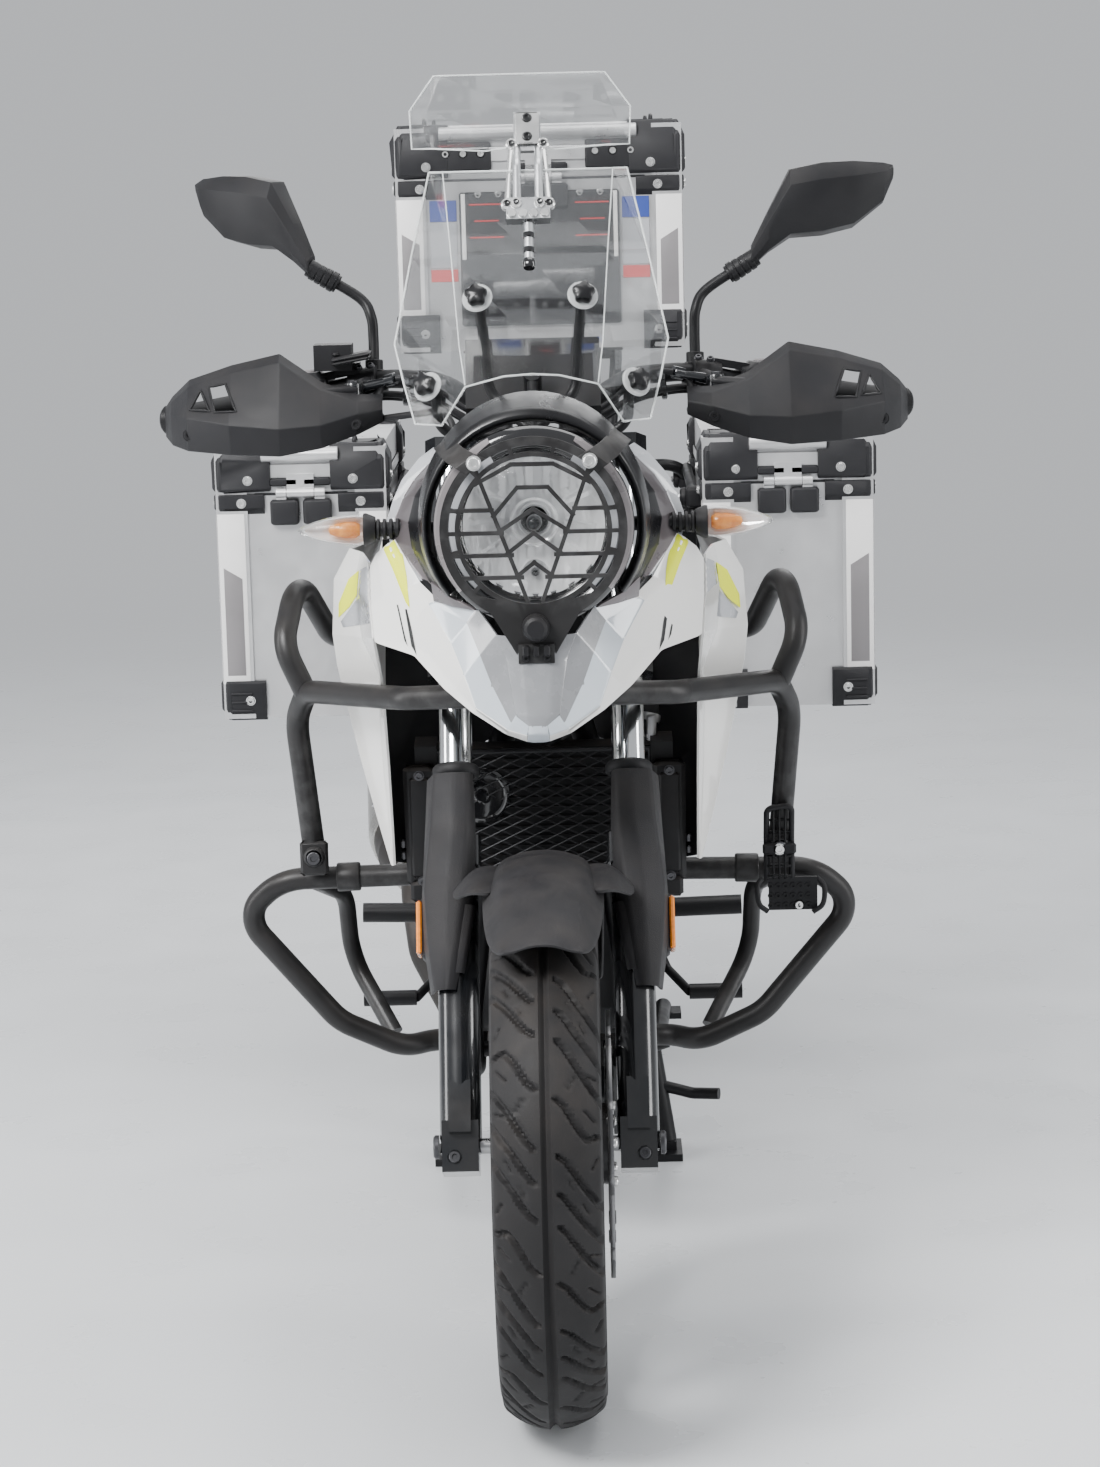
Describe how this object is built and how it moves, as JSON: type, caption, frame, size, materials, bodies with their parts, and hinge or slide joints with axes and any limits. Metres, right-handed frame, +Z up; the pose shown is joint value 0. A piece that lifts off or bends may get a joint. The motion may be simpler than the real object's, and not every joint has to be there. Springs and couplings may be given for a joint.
{
  "type": "adventure motorcycle",
  "caption": "Adventure touring motorcycle on its centre stand, with tall screen, grille over the lamp, crash bars and metal luggage cases.",
  "frame": {"origin": "floor level, at the middle of the machine's length and width", "axes": "-Y towards the front wheel, +X to the rider's left, +Z up"},
  "size_m": [0.924, 2.1674, 1.456],
  "materials": {
    "tyre": "matt",
    "wheel_black": "satin",
    "disc_steel": "satin",
    "chrome": "polished",
    "leg_black": "satin",
    "plain_steel": "satin",
    "bar_black": "satin",
    "guard_black": "textured satin",
    "grip_rubber": "matt",
    "trim_black": "matt",
    "fender_grey": "matt",
    "engine_alloy": "satin",
    "radiator_black": "matt",
    "exhaust_steel": "satin",
    "tank_black": "gloss",
    "seat_black": "grained",
    "body_white": "gloss",
    "clear_glass": "clear",
    "clear_screen": "clear",
    "arm_metal": "satin",
    "lens_clear": "clear",
    "lens_red": "gloss",
    "chain_steel": "oiled",
    "case_alloy": "brushed"
  },
  "bodies": {
    "chassis": {"beak": "body_white", "chain": "chain_steel", "cylinders": "engine_alloy", "deflector": "clear_screen", "deflector_arm": "arm_metal", "engine_case": "engine_alloy", "exhaust_pipes": "exhaust_steel", "fairing_stay": "bar_black", "foot_rests": "bar_black", "frame": "bar_black", "fuel_tank": "tank_black", "headlamp": "trim_black", "headlamp_glass": "clear_glass", "holder_cage": "trim_black", "indicators": "lens_clear", "instrument": "trim_black", "lamp_guard": "guard_black", "left_pannier": "case_alloy", "lower_crash_bars": "guard_black", "luggage_racks": "bar_black", "muffler": "exhaust_steel", "pivot_shaft": "plain_steel", "radiator": "radiator_black", "rear_axle": "plain_steel", "rear_fender": "trim_black", "rear_shock": "bar_black", "right_pannier": "case_alloy", "screen": "clear_screen", "seat": "seat_black", "side_cowls": "body_white", "stand_shaft": "plain_steel", "swingarm": "bar_black", "tail_cowls": "trim_black", "tail_lamp": "lens_red", "top_case": "case_alloy", "upper_crash_bars": "guard_black"},
    "steering": {"fork_tubes": "chrome", "fork_sliders": "leg_black", "front_axle": "plain_steel", "triple_clamps": "leg_black", "handlebar": "bar_black", "grips": "grip_rubber", "bar_controls": "trim_black", "mirrors": "trim_black", "handguards": "trim_black", "front_fender": "fender_grey", "fork_guards": "trim_black", "front_caliper": "leg_black", "brake_hose": "trim_black"},
    "front_wheel_set": {"front_wheel": "wheel_black", "front_tyre": "tyre", "front_disc": "disc_steel"},
    "rear_wheel_set": {"rear_wheel": "wheel_black", "rear_tyre": "tyre", "rear_disc_and_sprocket": "disc_steel"},
    "main_stand": {"centre_stand": "bar_black"},
    "prop_stand": {"side_stand": "bar_black"},
    "left_case_lid": {"left_pannier_lid": "case_alloy"},
    "right_case_lid": {"right_pannier_lid": "case_alloy"},
    "top_case_lid_body": {"top_case_lid": "case_alloy"}
  },
  "joints": [
    {"name": "steering", "type": "hinge", "parent": "chassis", "child": "steering", "pos_m": [0, -0.7472, 0.2891], "axis": [0, 0.4147, 0.91], "range_deg": [-35, 35]},
    {"name": "front_wheel_turn", "type": "hinge", "parent": "steering", "child": "front_wheel_set", "pos_m": [0, -0.78, 0.304], "axis": [1, 0, 0], "continuous": true},
    {"name": "rear_wheel_turn", "type": "hinge", "parent": "chassis", "child": "rear_wheel_set", "pos_m": [0, 0.645, 0.336], "axis": [1, 0, 0], "continuous": true},
    {"name": "centre_stand_fold", "type": "hinge", "parent": "chassis", "child": "main_stand", "pos_m": [0, 0.172, 0.282], "axis": [1, 0, 0], "range_deg": [0, 85]},
    {"name": "side_stand_swing", "type": "hinge", "parent": "chassis", "child": "prop_stand", "pos_m": [0.126, -0.14, 0.238], "axis": [-0.9579, 0, -0.287], "range_deg": [0, 100]},
    {"name": "left_lid_open", "type": "hinge", "parent": "chassis", "child": "left_case_lid", "pos_m": [0.342, 0.36, 0.905], "axis": [1, 0, 0], "range_deg": [0, 85]},
    {"name": "right_lid_open", "type": "hinge", "parent": "chassis", "child": "right_case_lid", "pos_m": [-0.342, 0.36, 0.905], "axis": [1, 0, 0], "range_deg": [0, 85]},
    {"name": "top_lid_open", "type": "hinge", "parent": "chassis", "child": "top_case_lid_body", "pos_m": [0, 0.66, 1.33], "axis": [1, 0, 0], "range_deg": [0, 85]}
  ]
}
